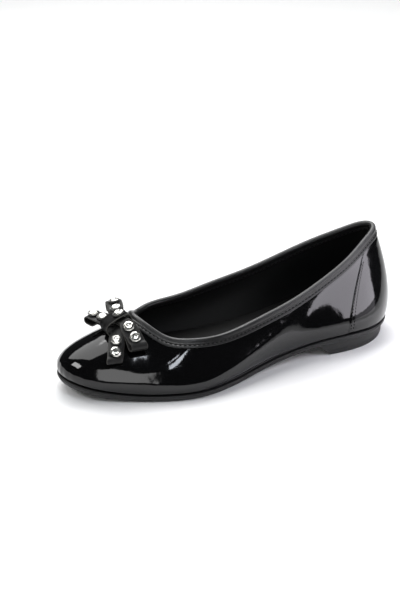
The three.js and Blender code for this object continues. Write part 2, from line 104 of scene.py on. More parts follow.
# Bow
BOW_X = 4.0
BOW_SETBACK = 41.0
RIBBON_WIDTH = 10.4
RIBBON_THICKNESS = 1.0
HELD_REACH = 7.5
HELD_BLEND = 1.5
PINCH = 0.6
PINCH_REACH = (5.5, 12.0)
LOOP_REACH = (7.0, 13.0)
ARM_POINTS = 34
LOOP_NOSE = 3.0
KNOT_WIDTH = 10.4
KNOT_LENGTH = 18.6
KNOT_CORNER = 2.2
KNOT_LIFT = 0.7
KNOT_FORWARD = 2.2
KNOT_HEADROOM = 0.3
KNOT_STONE_BACK = 1.5
KNOT_ARCH = 1.3  # how much lower the ends of its top lie
KNOT_CURL = 0.9  # how far the edges of its top stand up
KNOT_FOLDS = 0.3  # depth of the soft folds along it
STONE_RADIUS = 3.85
STONE_HEIGHT = 1.8
STONE_GAP = 0.45

# Half widths of the sole as shares of the ball width: place from toe to heel, outer side, inner side
OUTLINE = np.array([
    (0.0, 0.625, 0.625), (0.06, 0.578, 0.57), (0.14, 0.572, 0.53), (0.22, 0.611, 0.5), (0.31, 0.613, 0.47),
    (0.38, 0.557, 0.435), (0.46, 0.477, 0.375), (0.56, 0.422, 0.315), (0.65, 0.437, 0.31),
    (0.74, 0.51, 0.365), (0.83, 0.6, 0.46), (0.92, 0.655, 0.565), (1.0, 0.637, 0.637),
])

# Underside of the sole: place, share of the toe spring, share of the heel height
UNDERSIDE = np.array([
    (0.0, 1.0, 0.0), (0.06, 0.5, 0.0), (0.12, 0.16, 0.0), (0.18, 0.0, 0.0), (0.42, 0.0, 0.0),
    (0.5, 0.0, 0.19), (0.6, 0.0, 0.58), (0.7, 0.0, 0.98), (0.78, 0.0, 1.12), (0.88, 0.0, 1.04),
    (1.0, 0.0, 0.95),
])

# Topline: place, half width as a share of the ball width, rise to the throat, rise to the back
TOPLINE = np.array([
    (0.0, 0.456, 1.0, 0.0), (0.06, 0.537, 0.17, 0.0), (0.12, 0.55, 0.0, 0.0), (0.25, 0.476, 0.0, 0.0),
    (0.4, 0.406, 0.0, 0.116), (0.55, 0.367, 0.0, 0.263), (0.7, 0.345, 0.0, 0.48), (0.85, 0.321, 0.0, 0.733),
    (0.95, 0.301, 0.0, 0.915), (1.0, 0.332, 0.0, 1.0),
])

# Handles of the wall's curve: place, out at the foot, up at the foot, out at the top, down at the top
HANDLES = np.array([
    (0.0, 0.033, 0.568, 0.19, 0.377), (0.06, 0.025, 0.391, 0.159, 0.4), (0.16, 0.031, 0.449, 0.12, 0.376),
    (0.3, 0.05, 0.3, 0.08, 0.45), (0.5, 0.058, 0.26, 0.06, 0.5), (0.8, 0.048, 0.311, 0.04, 0.4),
    (1.0, 0.038, 0.304, 0.105, 0.387),
])

# The bow's arms: turn in degrees and turn of the band at the end, rise per length, bend per length squared,
# share of the vamp's slope that is lost, reach, height of the loop, and places of the stones
ARM_COLUMNS = ("turn", "face", "lift", "bend", "level", "reach", "loop", "stones")
LOWER_NEAR = dict(zip(ARM_COLUMNS, (-32.0, 2.0, -0.58, -0.004, 1.35, 24.5, 4.6, (15.0, 22.2))))
LOWER_FAR = dict(zip(ARM_COLUMNS, (22.0, 22.0, -0.14, 0.006, 0.8, 23.5, 5.6, (14.8, 22.8))))
UPPER_NEAR = dict(zip(ARM_COLUMNS, (9.0, -8.0, -0.5, -0.012, 1.0, 21.0, 6.4, (12.0, 18.7))))
UPPER_FAR = dict(zip(ARM_COLUMNS, (-18.0, -18.0, 0.22, -0.012, 0.8, 23.5, 5.6, (10.5, 20.8))))
STRIPS = [
    {"name": "bow_strip_lower", "layer": 0, "near": LOWER_NEAR, "far": LOWER_FAR},
    {"name": "bow_strip_upper", "layer": 1, "near": UPPER_NEAR, "far": UPPER_FAR},
]

# Broad creases: side, place along the shoe at the lowest rise, lean per rise, lowest rise, depth in
# millimetres, and width as a share of the way from toe to heel
CREASES = [
    (1, 0.1, -0.04, 0.5, 0.04, 0.01),
    (1, 0.132, -0.03, 0.5, 0.06, 0.008),
    (1, 0.17, -0.02, 0.5, 0.05, 0.012),
    (1, 0.3, 0.02, 0.5, 0.03, 0.02),
    (-1, 0.11, -0.04, 0.5, 0.14, 0.012),
    (-1, 0.15, 0.0, 0.55, 0.1, 0.012),
    (-1, 0.29, -0.02, 0.5, 0.06, 0.016),
]

# Camera, in degrees, and millimetres in the last's frame
CAMERA_AZIMUTH = 61.5
CAMERA_ELEVATION = 23.6
CAMERA_DISTANCE = 696.4
CAMERA_TARGET = np.array([0.0, -23.88, 43.9])
CAMERA_SENSOR = 36.0  # height of its frame
CAMERA_LENS = 63.78

# Light, in degrees and metres: the height that the softboxes face, and their tints
AIM_HEIGHT = 0.04
WHITE = (1.0, 1.0, 1.0)
LILAC = (0.95, 0.92, 1.0)
COOL = (0.88, 0.93, 1.0)

# Softboxes: azimuth, elevation, distance, width and height, radiance, tint
SOFTBOXES = {
    "overhead": (-80, 62, 1.5, (1.5, 1.4), 3.0, WHITE),
    "strip": (56.3, 26, 1.8, (0.42, 1.2), 3.0, WHITE),
    "side": (144, 15, 0.25, (0.155, 0.1), 5.2, LILAC),
    "side_low": (147.7, -1, 0.26, (0.12, 0.044), 1.0, LILAC),
    "back": (-122, 50, 2.9, (2.4, 1.8), 4.0, WHITE),
    "flash": (79, 57, 1.5, (0.16, 0.5), 14.0, COOL),
    "toe": (-5, 42, 1.5, (0.55, 0.34), 9.0, WHITE),
}


# The last

def through(rows, column, at, even=True):
    """A curve through one column of a table: cubic pieces, a value and a slope at each row.

    The slopes join each row's two neighbours, or, where even is true, are those that keep the curvature
    unbroken from piece to piece, which a mirror-gloss surface shows.
    """
    place = rows[:, 0]
    value = rows[:, column]
    step = np.diff(place)
    rise = np.diff(value) / step
    slope = np.empty_like(value)
    slope[0] = rise[0]
    slope[-1] = rise[-1]
    slope[1:-1] = (value[2:] - value[:-2]) / (place[2:] - place[:-2])
    if even:
        inner = np.arange(1, len(value) - 1)
        system = np.eye(len(value))
        system[inner, inner - 1] = step[1:]
        system[inner, inner] = 2 * (step[1:] + step[:-1])
        system[inner, inner + 1] = step[:-1]
        goal = slope.copy()
        goal[1:-1] = 3 * (step[1:] * rise[:-1] + step[:-1] * rise[1:])
        slope = np.linalg.solve(system, goal)
    at = np.clip(at, place[0], place[-1])
    i = np.clip(np.searchsorted(place, at, side="right") - 1, 0, len(step) - 1)
    t = (at - place[i]) / step[i]
    return (
        (2 * t**3 - 3 * t**2 + 1) * value[i]
        + (t**3 - 2 * t**2 + t) * step[i] * slope[i]
        + (3 * t**2 - 2 * t**3) * value[i + 1]
        + (t**3 - t**2) * step[i] * slope[i + 1]
    )


def share_at(angle):
    """The share of the way from toe to heel: half of one minus the cosine of the angle."""
    return (1 - np.cos(angle)) / 2


def angle_at(share):
    """The angle of a share of the way from toe to heel."""
    return np.arccos(1 - 2 * share)


def unit(vectors):
    """Vectors of length one along the given ones."""
    return vectors / np.linalg.norm(vectors, axis=-1, keepdims=True)


def outline(angle):
    """The sole's outline in plan: the side's half width times the sine of the angle, swung in at the toe.

    The swing is the cube of the share of the way that is left to the heel, times its size.
    """
    share = share_at(angle)
    side = np.sin(angle)
    half = np.where(side >= 0, through(OUTLINE, 1, share), through(OUTLINE, 2, share))
    x = BALL_WIDTH * half * side - TOE_SWING * (1 - share) ** 3
    y = TOE_Y + SOLE_LENGTH * share
    return np.stack([x, y, np.zeros_like(x)], -1)


def outward(angle):
    """The outline's normal in plan: its direction, turned a quarter."""
    step = 1e-4
    along = outline(angle + step) - outline(angle - step)
    return unit(np.stack([along[..., 1], -along[..., 0], np.zeros_like(angle)], -1))


def inset(angle, distance):
    """The outline moved in along its normal."""
    return outline(angle) - outward(angle) * distance


def sole_bottom(y):
    """Height of the sole's underside: toe spring and heel lift, never below the floor."""
    share = (y - TOE_Y) / SOLE_LENGTH
    toe = TOE_SPRING * through(UNDERSIDE, 1, share, even=False)
    heel = HEEL_HEIGHT * through(UNDERSIDE, 2, share, even=False)
    return np.maximum(toe + heel, 0)


def over_sole(angle, distance, height):
    """A point in from the outline by a distance, at a height over the sole's top face."""
    point = inset(angle, distance)
    point[..., 2] = sole_bottom(point[..., 1]) + SOLE_EDGE + height
    return point


def topline(angle):
    """The upper's edge: half width times the sine of the angle, raised towards the throat and the back."""
    share = share_at(angle)
    x = BALL_WIDTH * through(TOPLINE, 1, share) * np.sin(angle)
    y = TOE_Y + THROAT_SETBACK + (SOLE_LENGTH - THROAT_SETBACK - COLLAR_SETBACK) * share
    throat = (THROAT_HEIGHT - SIDE_HEIGHT) * through(TOPLINE, 2, share)
    back = (BACK_HEIGHT - SIDE_HEIGHT) * through(TOPLINE, 3, share)
    return np.stack([x, y, SIDE_HEIGHT + throat + back], -1)


def wall(angle, rise):
    """The upper's outer face: at each angle a cubic Bezier curve from the feather line to the topline.

    Its first handle goes out from the foot and up, its second out from the topline and down, by shares of
    the ball width and of the wall's height there.
    """
    angle, rise = np.broadcast_arrays(np.asarray(angle, float), np.asarray(rise, float))
    share = share_at(angle)
    foot = over_sole(angle, -CLEARANCE, CLEARANCE + CORNER_RADIUS)
    top = topline(angle)
    out = outward(angle)
    height = (top - foot)[..., 2:]
    out_foot, up_foot, out_top, down_top = (through(HANDLES, k, share)[..., None] for k in range(1, 5))
    low = foot + out * BALL_WIDTH * out_foot + UP * height * up_foot
    high = top + out * BALL_WIDTH * out_top - UP * height * down_top
    t = rise[..., None]
    return (1 - t) ** 3 * foot + 3 * (1 - t) ** 2 * t * low + 3 * (1 - t) * t**2 * high + t**3 * top


def wall_normal(angle, rise):
    """The wall's outward normal: the cross product of its directions round the shoe and upwards."""
    step = 1e-3
    around = wall(angle + step, rise) - wall(angle - step, rise)
    upwards = wall(angle, np.minimum(rise + step, 1)) - wall(angle, np.maximum(rise - step, 0))
    return unit(np.cross(around, upwards))


def rise_below(angle, distance):
    """The rise at which the wall lies a distance below the topline, found by repeated scaling."""
    first_guess = 0.9
    rounds = 6
    top = topline(angle)
    rise = np.full_like(angle, first_guess)
    for _ in range(rounds):
        reached = np.linalg.norm(wall(angle, rise) - top, axis=-1)
        rise = 1 - (1 - rise) * distance / reached
    return rise


def vamp_at(x, y):
    """The wall's point and normal over a place in plan, by shortened Newton steps on angle and rise."""
    angle = 0.4
    rise = 0.8
    step = 1e-4
    pace = 0.7
    rounds = 30
    for _ in range(rounds):
        angles = np.array([angle, angle + step, angle])
        rises = np.array([rise, rise, rise - step])
        here, beside, below = wall(angles, rises)
        round_x, round_y = ((beside - here) / step)[:2]
        up_x, up_y = ((here - below) / step)[:2]
        scale = round_x * up_y - round_y * up_x
        miss_x = x - here[0]
        miss_y = y - here[1]
        angle += pace * (miss_x * up_y - miss_y * up_x) / scale
        rise += pace * (round_x * miss_y - round_y * miss_x) / scale
        rise = min(max(rise, 0.05), 0.999)
    return wall(angle, rise), wall_normal(np.array(angle), np.array(rise))


# Meshes

def grid_faces(rows, columns, start, rows_closed, columns_closed):
    """The corners of a grid's cells: each point with its neighbours in the next row and column."""
    row = np.arange(rows if rows_closed else rows - 1)[:, None]
    column = np.arange(columns if columns_closed else columns - 1)[None, :]
    next_row = (row + 1) % rows
    next_column = (column + 1) % columns
    corners = [row * columns + column, row * columns + next_column]
    corners += [next_row * columns + next_column, next_row * columns + column]
    return start + np.stack(np.broadcast_arrays(*corners), -1).reshape(-1, 4)


def piece(name, grids, finishes, sharp):
    """One mesh object from grids of points in millimetres.

    A grid is a dictionary: points (rows, columns, 3), whether its rows and columns close on themselves, the
    place in the list of finishes, and a pattern (rows, columns, 2) in millimetres for the UV map. Doubles at
    seams and poles are merged, and faces are turned outwards. Edges are sharp over an angle in degrees.
    """
    merge_distance = 2e-6
    points = []
    faces = []
    slots = []
    patterns = []
    start = 0
    for grid in grids:
        rows, columns = grid["points"].shape[:2]
        closed = (grid.get("rows_closed", False), grid.get("columns_closed", False))
        cells = grid_faces(rows, columns, start, *closed)
        points.append(grid["points"].reshape(-1, 3))
        patterns.append(grid.get("pattern", grid["points"][..., :2]).reshape(-1, 2))
        faces.append(cells)
        slots.append(np.full(len(cells), grid.get("finish", 0)))
        start += rows * columns
    points = (np.concatenate(points) + LAST_SHIFT) * MM
    faces = np.concatenate(faces)
    mesh = bpy.data.meshes.new(name)
    mesh.from_pydata(points, [], faces)
    uv = mesh.uv_layers.new(name="pattern")
    uv.data.foreach_set("uv", (np.concatenate(patterns)[faces.reshape(-1)] * MM).ravel())
    mesh.polygons.foreach_set("material_index", np.concatenate(slots).astype(np.int32))
    shape = bmesh.new()
    shape.from_mesh(mesh)
    bmesh.ops.remove_doubles(shape, verts=shape.verts, dist=merge_distance)
    bmesh.ops.recalc_face_normals(shape, faces=shape.faces)
    shape.to_mesh(mesh)
    shape.free()
    mesh.shade_smooth()
    mesh.set_sharp_from_angle(angle=math.radians(sharp))
    for finish in finishes:
        mesh.materials.append(finish)
    thing = bpy.data.objects.new(name, mesh)
    bpy.context.scene.collection.objects.link(thing)
    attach(thing, "root")
    return thing


def lengths_along(points, axis):
    """Running length of a grid of points along one of its axes."""
    steps = np.linalg.norm(np.diff(points, axis=axis), axis=-1)
    first = np.zeros_like(np.take(steps, [0], axis=axis))
    return np.concatenate([first, np.cumsum(steps, axis=axis)], axis=axis)


def face_between(left, right, across=24):
    """A face of straight runs, each from a point on one line to its partner on the other."""
    share = np.linspace(0, 1, across)[None, :, None]
    return {"points": left[:, None] + (right - left)[:, None] * share}


def cap(ring, across=24):
    """A face over a ring that is symmetric in its order: straight runs between opposite points."""
    count = len(ring)
    half = np.arange(count // 2 + 1)
    return face_between(ring[half], ring[(count - half) % count], across)


def profile_rings(rows, base):
    """Rings of points round the sole from rows of (inset, height), over a base height that depends on y."""
    rings = []
    for distance, height in rows:
        ring = inset(RING, distance)
        ring[:, 2] = base(ring[:, 1]) + height
        rings.append(ring)
    return np.array(rings)


# Shader maths

class Value:
    """A number, colour or normal that varies over a surface. Arithmetic on a number adds Math nodes."""

    def __init__(self, finish, socket):
        """The material that the value belongs to, and the socket that gives it."""
        self.finish = finish
        self.socket = socket

    def maths(self, operation, *others):
        """A Math node of an operation on this number and others."""
        inputs = dict(enumerate((self, *others)))
        node = self.finish.node("ShaderNodeMath", {"operation": operation}, inputs)
        return Value(self.finish, node.outputs[0])

    def __add__(self, other):
        return self.maths("ADD", other)

    def __mul__(self, other):
        return self.maths("MULTIPLY", other)

    def __sub__(self, other):
        return self.maths("SUBTRACT", other)

    def __rsub__(self, other):
        return (self * -1.0).maths("ADD", other)

    __radd__ = __add__
    __rmul__ = __mul__

    def size(self):
        """The number without its sign."""
        return self.maths("ABSOLUTE")

    def band(self, low, high):
        """0 below low, 1 above high and an S-shaped rise between, or the reverse where high < low."""
        settings = {"interpolation_type": "SMOOTHSTEP"}
        flipped = high < low
        sockets = {"Value": self, "From Min": min(low, high), "From Max": max(low, high)}
        sockets |= {"To Min": 1.0 if flipped else 0.0, "To Max": 0.0 if flipped else 1.0}
        node = self.finish.node("ShaderNodeMapRange", settings, sockets)
        return Value(self.finish, node.outputs["Result"])


class Finish:
    """One material. Its method node adds any node, from its type, its settings and its sockets."""

    def __init__(self, name):
        """An empty material."""
        self.material = bpy.data.materials.new(name)
        self.material.use_nodes = True
        self.tree = self.material.node_tree
        self.tree.nodes.clear()

    def node(self, kind, settings=None, sockets=None):
        """A node of a kind, with its settings set first, then the values or links of its sockets."""
        node = self.tree.nodes.new(kind)
        for key, value in (settings or {}).items():
            setattr(node, key, value)
        for key, value in (sockets or {}).items():
            if isinstance(value, Value):
                self.tree.links.new(value.socket, node.inputs[key])
            else:
                node.inputs[key].default_value = value
        return node

    def place(self):
        """Object coordinates, in metres."""
        return Value(self, self.node("ShaderNodeTexCoord").outputs["Object"])

    def pattern(self):
        """The two numbers of the piece's UV map, in metres along and across it."""
        uv = Value(self, self.node("ShaderNodeTexCoord").outputs["UV"])
        node = self.node("ShaderNodeSeparateXYZ", {}, {"Vector": uv})
        return Value(self, node.outputs["X"]), Value(self, node.outputs["Y"])

    def noise(self, pitch, detail, roughness=0.5):
        """Noise between 0 and 1 whose features are about as far apart as the pitch, in millimetres."""
        sockets = {"Vector": self.place(), "Scale": 1 / (pitch * MM)}
        sockets |= {"Detail": detail, "Roughness": roughness}
        return Value(self, self.node("ShaderNodeTexNoise", {}, sockets).outputs["Fac"])

    def cells(self, pitch):
        """Distance to the nearest of points scattered about a pitch apart: the pebbles of leather's grain."""
        sockets = {"Vector": self.place(), "Scale": 1 / (pitch * MM), "Randomness": 0.9}
        return Value(self, self.node("ShaderNodeTexVoronoi", {}, sockets).outputs["Distance"])

    def blend(self, share, first, second):
        """A colour between two, by a share: the sockets by number are its factor and its two colours."""
        node = self.node("ShaderNodeMix", {"data_type": "RGBA"}, {0: share, 6: first, 7: second})
        return Value(self, node.outputs[2])

    def bump(self, depth, height, base=None):
        """A normal from a height, where 1 stands for the depth in millimetres, over a base normal."""
        sockets = {"Strength": 1.0, "Distance": depth * MM, "Height": height}
        if base is not None:
            sockets["Normal"] = base
        return Value(self, self.node("ShaderNodeBump", {}, sockets).outputs["Normal"])

    def surface(self, sockets):
        """The material's shader, with its sockets, as the output."""
        shader = self.node("ShaderNodeBsdfPrincipled", {}, sockets)
        result = self.node("ShaderNodeOutputMaterial")
        self.tree.links.new(shader.outputs[0], result.inputs["Surface"])
        return self.material


def colour(red, green, blue):
    """A colour with full alpha."""
    return (red, green, blue, 1.0)


def grey(tone):
    """A neutral colour with full alpha."""
    return (tone, tone, tone, 1.0)


def grained(finish, pebble_pitch, pebble_depth, patch_pitch, patch_depth):
    """Leather's grain: fine pebbles, soft patches, and the normal of pebbles that stand on the patches."""
    pebbles = finish.cells(pebble_pitch)
    patches = finish.noise(patch_pitch, 4.0)
    normal = finish.bump(pebble_depth, pebbles, finish.bump(patch_depth, patches))
    return pebbles, patches, normal


def patent_leather():
    """Black lacquer on leather: mirror gloss, with a faint orange peel and slow waves from lasting."""
    finish = Finish("patent_leather")
    peel = finish.noise(1.1, 2.0)
    waves = finish.noise(9.0, 1.5)
    normal = finish.bump(0.012, peel, finish.bump(0.16, waves))
    smear = finish.noise(22.0, 3.0)
    return finish.surface({
        "Base Color": finish.blend(smear, colour(0.0012, 0.0012, 0.0014), colour(0.0022, 0.0021, 0.0024)),
        "Roughness": smear * 0.05 + 0.045,
        "IOR": 1.46,
        "Coat Weight": 0.1,
        "Coat Roughness": 0.03,
        "Normal": normal,
    })


def soft_leather(name, dark, light, roughness, pebble_pitch):
    """Lining leather: pebbled bump, and a colour and roughness that vary with the grain."""
    finish = Finish(name)
    pebbles, patches, normal = grained(finish, pebble_pitch, 0.05, 14.0, 0.06)
    return finish.surface({
        "Base Color": finish.blend(pebbles * 0.5 + patches * 0.5, grey(dark), grey(light)),
        "Roughness": patches * 0.15 + roughness,
        "IOR": 1.38,
        "Normal": normal,
    })


def edged_leather(name, dark, light, edge, roughness, ior):
    """Leather strip: fine grain, and a painted highlight along its two cut edges, by the distance from its
    middle line.
    """
    finish = Finish(name)
    _, across = finish.pattern()
    pebbles, patches, normal = grained(finish, 0.5, 0.04, 5.0, 0.05)
    body = finish.blend(pebbles * 0.4 + patches * 0.6, colour(*dark), colour(*light))
    half_width = RIBBON_WIDTH / 2
    edge_highlight_width = 0.55
    # Painted highlight: the edge colour is blended in along both cut edges, unevenly by the patches.
    painted_edge_highlight = across.size().band((half_width - edge_highlight_width) * MM, half_width * MM) * (patches * 0.6 + 0.5)
    return finish.surface({
        "Base Color": finish.blend(painted_edge_highlight, body, colour(*edge)),
        "Roughness": patches * 0.16 + roughness,
        "IOR": ior,
        "Normal": normal,
    })


def bound_leather():
    """The binding: glazed fine-grained leather, with a painted highlight along the ridge of its roll.

    The distance across the band runs up the outer leg from its lower edge, then over the roll.
    """
    finish = Finish("binding_leather")
    _, across = finish.pattern()
    pebbles, patches, normal = grained(finish, 0.45, 0.05, 6.0, 0.06)
    body = finish.blend(pebbles * 0.5 + patches * 0.5, grey(0.005), colour(0.017, 0.017, 0.0172))
    # Painted highlight: a paler colour blended in along the ridge of the roll, unevenly by the patches.
    highlight_reach = 0.9
    highlight_core = 0.15
    off_highlight = (across - BINDING_HIGHLIGHT * MM).size()
    crest_highlight = off_highlight.band(highlight_reach * MM, highlight_core * MM) * (patches * 0.5 + 0.6)
    return finish.surface({
        "Base Color": finish.blend(crest_highlight, body, colour(0.075, 0.075, 0.077)),
        "Roughness": patches * 0.14 + 0.27,
        "IOR": 1.46,
        "Normal": normal,
    })


def sole_rubber():
    """Moulded rubber: near black, matt, with the fine texture of its mould."""
    finish = Finish("sole_rubber")
    fine = finish.noise(0.35, 3.0, 0.7)
    patches = finish.noise(18.0, 3.0)
    return finish.surface({
        "Base Color": finish.blend(fine * 0.5 + patches * 0.5, grey(0.006), grey(0.016)),
        "Roughness": patches * 0.14 + 0.5,
        "Normal": finish.bump(0.05, fine),
    })


def waxed_thread():
    """Black thread: matt, with uneven strands from a noise finer than a stitch."""
    finish = Finish("waxed_thread")
    strands = finish.noise(0.25, 1.0)
    return finish.surface({
        "Base Color": finish.blend(strands, grey(0.001), grey(0.006)),
        "Roughness": strands * 0.2 + 0.6,
        "IOR": 1.3,
        "Normal": finish.bump(0.04, strands),
    })


def backed_glass():
    """A foil-backed stone: silvered facets under a clear coat, cloudier and duller in patches by a noise."""
    finish = Finish("backed_glass")
    wear = finish.noise(1.3, 3.0)
    return finish.surface({
        "Base Color": finish.blend(wear, colour(0.4, 0.395, 0.37), colour(0.86, 0.85, 0.8)),
        "Metallic": 0.9,
        "Roughness": wear * 0.2 + 0.09,
        "Coat Weight": 1.0,
        "Coat Roughness": 0.02,
        "Coat IOR": 1.7,
    })


def blackened_metal():
    """The stones' cups: dark plated metal."""
    finish = Finish("blackened_metal")
    wear = finish.noise(0.8, 3.0)
    return finish.surface({
        "Base Color": finish.blend(wear, colour(0.02, 0.02, 0.021), colour(0.07, 0.068, 0.065)),
        "Metallic": 0.8,
        "Roughness": wear * 0.2 + 0.25,
    })


patent = patent_leather()
lining = soft_leather("lining_leather", 0.002, 0.005, 0.6, 0.6)
sock = soft_leather("sock_leather", 0.002, 0.006, 0.55, 0.7)
binding_leather = bound_leather()
# The third colour of each is the painted highlight along the strip's cut edges; the knot's leather is given
# darker than the ribbon's.
ribbon_leather = edged_leather(
    "ribbon_leather", (0.003, 0.003, 0.003), (0.014, 0.0135, 0.0125), (0.05, 0.048, 0.043), 0.42, 1.38
)
knot_leather = edged_leather(
    "knot_leather", (0.0008, 0.0008, 0.0008), (0.003, 0.003, 0.003), (0.09, 0.088, 0.08), 0.5, 1.2
)
rubber = sole_rubber()
thread = waxed_thread()
glass = backed_glass()
cup_metal = blackened_metal()


# Stitches

def thread_run(name, points, normals, pitch, length, width, height):
    """A row of stitches along a path that lies on a surface.

    Each stitch is a small bent bead, which starts and ends in the leather: its middle line follows the path,
    off the surface by the height times the sine of its own share less what is sunk, and its round section
    swells and closes by the root of that sine.
    """
    sunk = 0.25
    run = lengths_along(points, 0)
    count = int(run[-1] / pitch)
    share = np.linspace(0, 1, 7)
    sides = np.linspace(0, 2 * np.pi, 6, endpoint=False)
    centres = (np.arange(count) + 0.5) * run[-1] / count
    place = centres[:, None] + (share[None, :] - 0.5) * length
    axes = range(3)
    line = np.stack([np.interp(place, run, points[:, k]) for k in axes], -1)
    normal = unit(np.stack([np.interp(place, run, normals[:, k]) for k in axes], -1))
    along = unit(np.gradient(line, axis=1))
    across = unit(np.cross(normal, along))
    swell = np.sin(np.pi * share)[None, :, None]
    middle = line + normal * height * (swell - sunk)
    radius = width / 2 * np.sqrt(swell)[..., None]
    ring = (
        middle[:, :, None]
        + across[:, :, None] * np.cos(sides)[None, None, :, None] * radius
        + normal[:, :, None] * np.sin(sides)[None, None, :, None] * radius
    )
    grids = [{"points": stitch, "columns_closed": True} for stitch in ring]
    return piece(name, grids, [thread], sharp=80.0)


# Upper

def counter_edge(rise):
    """Angle of the counter's front edge at a rise: it sweeps back towards the topline."""
    return angle_at(COUNTER_FOOT + (COUNTER_TOP - COUNTER_FOOT) * rise**COUNTER_SWEEP)


def upper_angles(rise):
    """Angles round the upper at a rise, close together at the counter's edge, and the share of its step.

    In front of the edge and behind it the columns are evenly spread, so that they bend with it. The step
    from 0 to 1 is a hyperbolic tangent of the distance from the edge.
    """
    columns_in_front = 170
    columns_behind = 60
    step_width = 0.0008
    edge = counter_edge(rise) / np.pi
    close = np.array([-0.006, -0.0035, -0.0018, -0.0006, 0.0006, 0.0018, 0.0035, 0.006])
    front = np.linspace(0, edge + close[0], columns_in_front, endpoint=False)
    behind = np.linspace(edge + close[-1], 1, columns_behind)[1:]
    half = np.pi * np.concatenate([front, edge + close, behind])
    step = (1 + np.tanh(close / step_width)) / 2
    raised = np.concatenate([np.zeros(len(front)), step, np.ones(len(behind))])
    angles = np.concatenate([half, -half[-2:0:-1]])
    return angles, np.concatenate([raised, raised[-2:0:-1]])


def leather_relief(angle, rise):
    """How far the leather stands off its last, in millimetres.

    Short puckers round the toe: a wave of the angle, uneven in pitch, that bell curves fade out along the
    shoe and above the feather line. Broad flex creases cross the sides at the ball: each is a bell curve of
    the distance from its line, times a parabola, which leaves a groove with a low ridge on either side.
    """
    pucker_depth = 0.1
    pucker_length = 0.07
    pucker_rise = 0.16
    fade_in = 0.2
    share = share_at(angle)
    faded = np.exp(-((share / pucker_length) ** 2)) * np.exp(-((rise / pucker_rise) ** 2))
    relief = pucker_depth * faded * np.sin(46 * angle + 3 * np.sin(5 * angle))
    for side, place, lean, low, depth, width in CREASES:
        off = (share - place - lean * (rise - low)) / width
        shown = np.clip((rise - low) / fade_in, 0, 1) * (np.sin(angle) * side > 0)
        relief += depth * shown * np.exp(-(off**2)) * (off**2 * 1.4 - 0.7)
    return relief


def build_upper():
    """The wall with its lasting margin, as one closed section carried round the shoe.

    The section runs over the margin, round the corner under the foot, up the outer face, over the topline
    and down the inner face, which is the wall's moved in by its thickness. The counter's step and the relief
    run out under the binding.
    """
    counter_end = 0.93
    counter_fade = 0.04
    relief_fade = 0.1
    rises = (1 - np.cos(np.linspace(0.0, np.pi, 72))) / 2
    low_angles, _ = upper_angles(0.0)
    corner_inset = CORNER_RADIUS - CLEARANCE
    margin_inset = CORNER_RADIUS + MARGIN_WIDTH - 2 * CLEARANCE

    def corner(radius, degrees):
        """The arc of the corner under the foot, with a radius, at an angle down from the outside."""
        turn = math.radians(degrees)
        height = CLEARANCE + CORNER_RADIUS - radius * math.sin(turn)
        return over_sole(low_angles, corner_inset - radius * math.cos(turn), height)

    outer = [over_sole(low_angles, margin_inset, CLEARANCE)]
    outer += [corner(CORNER_RADIUS, degrees) for degrees in np.linspace(90, 15, 6)]
    inner = []
    for rise in rises:
        angles, raised = upper_angles(rise)
        point = wall(angles, rise)
        normal = wall_normal(angles, rise)
        counter = COUNTER_STEP * raised * np.clip((counter_end - rise) / counter_fade, 0, 1)
        lift = counter + leather_relief(angles, rise) * min(1, (1 - rise) / relief_fade)
        outer.append(point + normal * lift[:, None])
        inner.append(point - normal * WALL)
    inner = inner[::-1]
    inner += [corner(CORNER_RADIUS - WALL, degrees) for degrees in (30, 60, 90)]
    inner.append(over_sole(low_angles, margin_inset, CLEARANCE + WALL))
    outer = np.array(outer)
    inner = np.array(inner)
    bridge = np.array([outer[-1], inner[0]])
    hem = np.array([inner[-1], outer[0]])
    grids = [
        {"points": outer, "columns_closed": True, "finish": 0},
        {"points": bridge, "columns_closed": True, "finish": 1},
        {"points": inner, "columns_closed": True, "finish": 1},
        {"points": hem, "columns_closed": True, "finish": 1},
    ]
    upper = piece("dressed_upper", grids, [patent, lining], sharp=60.0)
    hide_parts("upper")


def build_counter_stitches():
    """Two rows of stitches behind the counter's front edge on each side, parallel to it."""
    rise = np.linspace(0.05, 0.84, 60)
    step = 0.01
    over = 0.02
    edge = counter_edge(rise)
    per_angle = np.linalg.norm(wall(edge + step, rise) - wall(edge, rise), axis=-1) / step
    for side, word in ((1, "outer"), (-1, "inner")):
        for row, setback in enumerate(COUNTER_ROWS, start=1):
            angle = side * (edge + setback / per_angle)
            normal = wall_normal(angle, rise)
            points = wall(angle, rise) + normal * (COUNTER_STEP + over)
            run = thread_run(f"counter_stitches_{word}_{row}", points, normal, **COUNTER_STITCH)


# Binding

